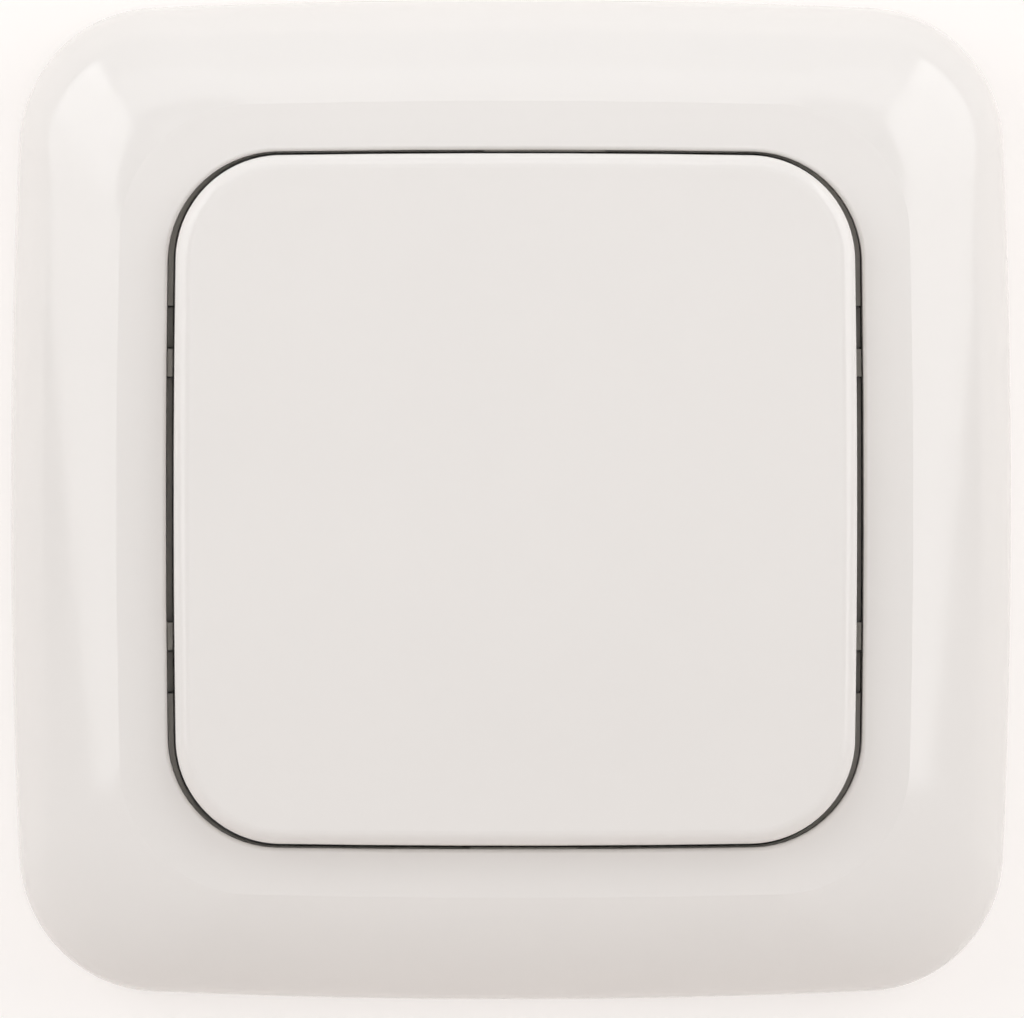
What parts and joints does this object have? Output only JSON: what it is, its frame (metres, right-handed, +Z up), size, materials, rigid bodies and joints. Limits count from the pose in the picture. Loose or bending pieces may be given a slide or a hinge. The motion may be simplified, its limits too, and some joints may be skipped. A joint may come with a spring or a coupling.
{
  "type": "wireless light switch",
  "caption": "Surface-mounted wireless wall light switch: a large tilting rocker in a domed square frame, with a battery, radio board and tact switches behind it.",
  "frame": {"origin": "middle of the wall plate's back, in the plane of the wall", "axes": "+Z up the wall, +Y into the wall, +X to the right of someone who faces the rocker"},
  "size_m": [0.08, 0.015, 0.08],
  "materials": {
    "frame_gloss": "polished warm white moulding",
    "rocker_gloss": "polished warm white moulding",
    "plate_plastic": "fine matt warm white moulding",
    "housing_plastic": "fine matt light grey moulding",
    "board_laminate": "green solder mask",
    "cell_steel": "satin nickel plate",
    "holder_plastic": "matt black moulding",
    "spring_metal": "rolled spring sheet",
    "cover_metal": "rolled steel sheet",
    "terminal_metal": "tinned",
    "chip_epoxy": "matt black epoxy",
    "can_metal": "drawn and plated",
    "coil_ferrite": "dark ferrite and lacquered wire",
    "resistor_body": "glazed, with tinned ends",
    "capacitor_body": "ceramic, with tinned ends",
    "copper_wire": "lacquered copper wire",
    "lamp_body": "milky white",
    "clear_guide": "clear moulding",
    "screw_steel": "zinc plated",
    "switch_plastic": "matt black moulding",
    "plunger_plastic": "matt brown-red moulding"
  },
  "bodies": {
    "base": {"wall_plate": "plate_plastic", "cover_frame": "frame_gloss", "housing_back": "housing_plastic", "housing_front": "housing_plastic", "circuit_board": "board_laminate", "coin_cell": "cell_steel", "cell_holder": "holder_plastic", "cell_contact": "spring_metal", "cell_clip": "spring_metal", "microcontroller": "chip_epoxy", "saw_resonator": "can_metal", "rf_transistor": "chip_epoxy", "tuning_coil": "coil_ferrite", "chip_resistors": "resistor_body", "chip_capacitors": "capacitor_body", "antenna": "copper_wire", "indicator_led": "lamp_body", "light_guide": "clear_guide", "housing_screws": "screw_steel", "upper_switch_base": "switch_plastic", "upper_switch_dome": "spring_metal", "upper_switch_cover": "cover_metal", "upper_switch_terminals": "terminal_metal", "lower_switch_base": "switch_plastic", "lower_switch_dome": "spring_metal", "lower_switch_cover": "cover_metal", "lower_switch_terminals": "terminal_metal"},
    "rocker": {"rocker": "rocker_gloss"},
    "upper_plunger": {"upper_switch_plunger": "plunger_plastic"},
    "lower_plunger": {"lower_switch_plunger": "plunger_plastic"}
  },
  "joints": [
    {"name": "rocker_tilt", "type": "hinge", "parent": "base", "child": "rocker", "pos_m": [0, -0.0084, 0], "axis": [1, 0, 0], "range_deg": [-2, 2], "stiffness_Nm_per_rad": 0.6},
    {"name": "upper_plunger_press", "type": "slide", "parent": "base", "child": "upper_plunger", "axis": [0, 1, 0], "range_m": [-0.00032, 0.00032]},
    {"name": "lower_plunger_press", "type": "slide", "parent": "base", "child": "lower_plunger", "axis": [0, 1, 0], "range_m": [-0.00032, 0.00032]}
  ],
  "couplings": [
    {"joint": "upper_plunger_press", "follows": "rocker_tilt", "m_per_rad": -0.009},
    {"joint": "lower_plunger_press", "follows": "rocker_tilt", "m_per_rad": 0.009}
  ]
}
